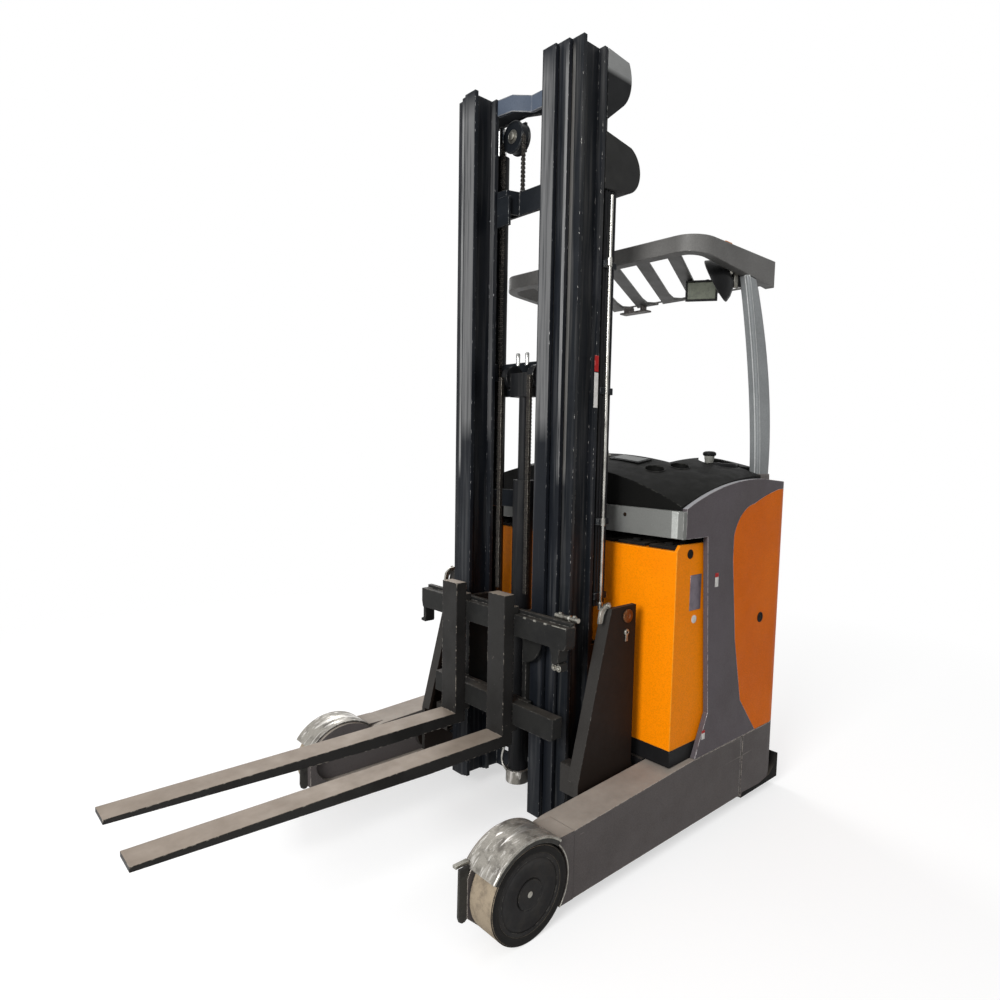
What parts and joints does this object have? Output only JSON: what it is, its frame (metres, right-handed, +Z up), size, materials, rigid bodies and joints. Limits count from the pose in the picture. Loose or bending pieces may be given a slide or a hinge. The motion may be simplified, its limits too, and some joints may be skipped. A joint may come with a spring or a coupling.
{
  "type": "electric reach truck",
  "caption": "Electric reach truck: a telescopic mast with forks rolls forward along two wheel arms ahead of a battery box and a roofed driver's place.",
  "frame": {"origin": "on the floor, in the middle of the truck's width and whole length with the forks", "axes": "+Z up, the forks point along -Y, +X is the driver's front side"},
  "size_m": [1.27, 2.341, 2.78],
  "materials": {
    "black_paint": "satin",
    "black_plastic": "matt",
    "chrome": "polished",
    "drive_tread": "dusty",
    "fork_steel": "worn",
    "hub_dark": "matt",
    "orange": "gloss",
    "painted_grey": "satin",
    "seat_fabric": "woven",
    "silver_paint": "satin",
    "tyre_tread": "dusty",
    "worn_steel": "worn"
  },
  "bodies": {
    "chassis": {"wheel_arm_left": "painted_grey", "wheel_arm_right": "painted_grey", "chassis_frame": "black_paint", "load_axles": "worn_steel", "wheel_cover_left": "worn_steel", "wheel_cover_right": "worn_steel", "battery_tray": "black_paint", "battery": "orange", "side_panel_left": "painted_grey", "side_panel_right": "painted_grey", "rear_panel_left": "orange", "rear_panel_right": "orange", "hood_band": "painted_grey", "bulkhead": "black_paint", "dash": "black_plastic", "steering_console": "black_plastic", "floor_and_step": "black_paint", "hydraulic_unit": "black_paint", "seat_base": "black_plastic", "seat_cushion": "seat_fabric", "seat_back": "seat_fabric", "controls": "black_plastic", "roof_guard": "painted_grey", "pillar_left": "silver_paint", "pillar_right": "silver_paint", "roof_fittings": "black_plastic", "drive_motor": "hub_dark", "reach_cylinder": "black_paint"},
    "wheel_left": {"load_wheel_left": "hub_dark", "load_tyre_left": "tyre_tread"},
    "wheel_right": {"load_wheel_right": "hub_dark", "load_tyre_right": "tyre_tread"},
    "hand_wheel": {"steering_wheel": "black_plastic"},
    "drive_leg": {"drive_unit": "hub_dark"},
    "drive_roller": {"drive_wheel": "drive_tread"},
    "reach_carriage": {"reach_plate_left": "black_paint", "reach_plate_right": "black_paint", "reach_beam": "black_paint"},
    "mast_fixed": {"mast_outer_left": "black_paint", "mast_outer_right": "black_paint", "mast_outer_ties": "black_paint", "mast_pipe": "chrome", "pulley_cover": "black_plastic", "lift_cylinders": "black_paint"},
    "mast_second": {"mast_middle_left": "black_paint", "mast_middle_right": "black_paint", "mast_middle_ties": "black_paint", "lift_rods": "chrome", "head_cover": "black_plastic"},
    "mast_third": {"mast_inner_left": "black_paint", "mast_inner_right": "black_paint", "mast_inner_ties": "black_paint", "free_lift_cylinder": "black_paint"},
    "free_lift": {"free_lift_head": "chrome", "free_lift_chains": "hub_dark"},
    "fork_carriage": {"carriage_frame": "black_paint"},
    "side_shift": {"fork_frame": "black_paint"},
    "fork_arm_left": {"fork_left": "fork_steel"},
    "fork_arm_right": {"fork_right": "fork_steel"}
  },
  "joints": [
    {"name": "left_wheel_spin", "type": "hinge", "parent": "chassis", "child": "wheel_left", "pos_m": [0.578, -0.2695, 0.145], "axis": [1, 0, 0], "continuous": true},
    {"name": "right_wheel_spin", "type": "hinge", "parent": "chassis", "child": "wheel_right", "pos_m": [-0.578, -0.2695, 0.145], "axis": [1, 0, 0], "continuous": true},
    {"name": "hand_wheel_spin", "type": "hinge", "parent": "chassis", "child": "hand_wheel", "pos_m": [0.415, 0.9305, 1.35], "axis": [0, 0, 1], "continuous": true},
    {"name": "drive_steer", "type": "hinge", "parent": "chassis", "child": "drive_leg", "pos_m": [-0.2, 0.9105, 0.3], "axis": [0, 0, 1], "range_deg": [-90, 90]},
    {"name": "drive_spin", "type": "hinge", "parent": "drive_leg", "child": "drive_roller", "pos_m": [-0.2, 0.9105, 0.155], "axis": [1, 0, 0], "continuous": true},
    {"name": "reach", "type": "slide", "parent": "chassis", "child": "reach_carriage", "axis": [0, -1, 0], "range_m": [0, 0.455]},
    {"name": "mast_tilt", "type": "hinge", "parent": "reach_carriage", "child": "mast_fixed", "pos_m": [0, 0.2305, 0.17], "axis": [1, 0, 0], "range_deg": [-3, 1]},
    {"name": "second_stage_lift", "type": "slide", "parent": "mast_fixed", "child": "mast_second", "axis": [0, 0, 1], "range_m": [0, 2]},
    {"name": "third_stage_lift", "type": "slide", "parent": "mast_second", "child": "mast_third", "axis": [0, 0, 1], "range_m": [0, 2]},
    {"name": "carriage_lift", "type": "slide", "parent": "mast_third", "child": "fork_carriage", "axis": [0, 0, 1], "range_m": [-0.335, 1.6]},
    {"name": "free_head_lift", "type": "slide", "parent": "mast_third", "child": "free_lift", "axis": [0, 0, 1], "range_m": [-0.17, 0.81]},
    {"name": "forks_side_shift", "type": "slide", "parent": "fork_carriage", "child": "side_shift", "axis": [1, 0, 0], "range_m": [-0.06, 0.06]},
    {"name": "left_fork_slide", "type": "slide", "parent": "side_shift", "child": "fork_arm_left", "axis": [1, 0, 0], "range_m": [-0.07, 0.2]},
    {"name": "right_fork_slide", "type": "slide", "parent": "side_shift", "child": "fork_arm_right", "axis": [-1, 0, 0], "range_m": [-0.07, 0.2]}
  ],
  "couplings": [
    {"joint": "third_stage_lift", "follows": "second_stage_lift", "ratio": 1},
    {"joint": "free_head_lift", "follows": "carriage_lift", "ratio": 0.5}
  ]
}
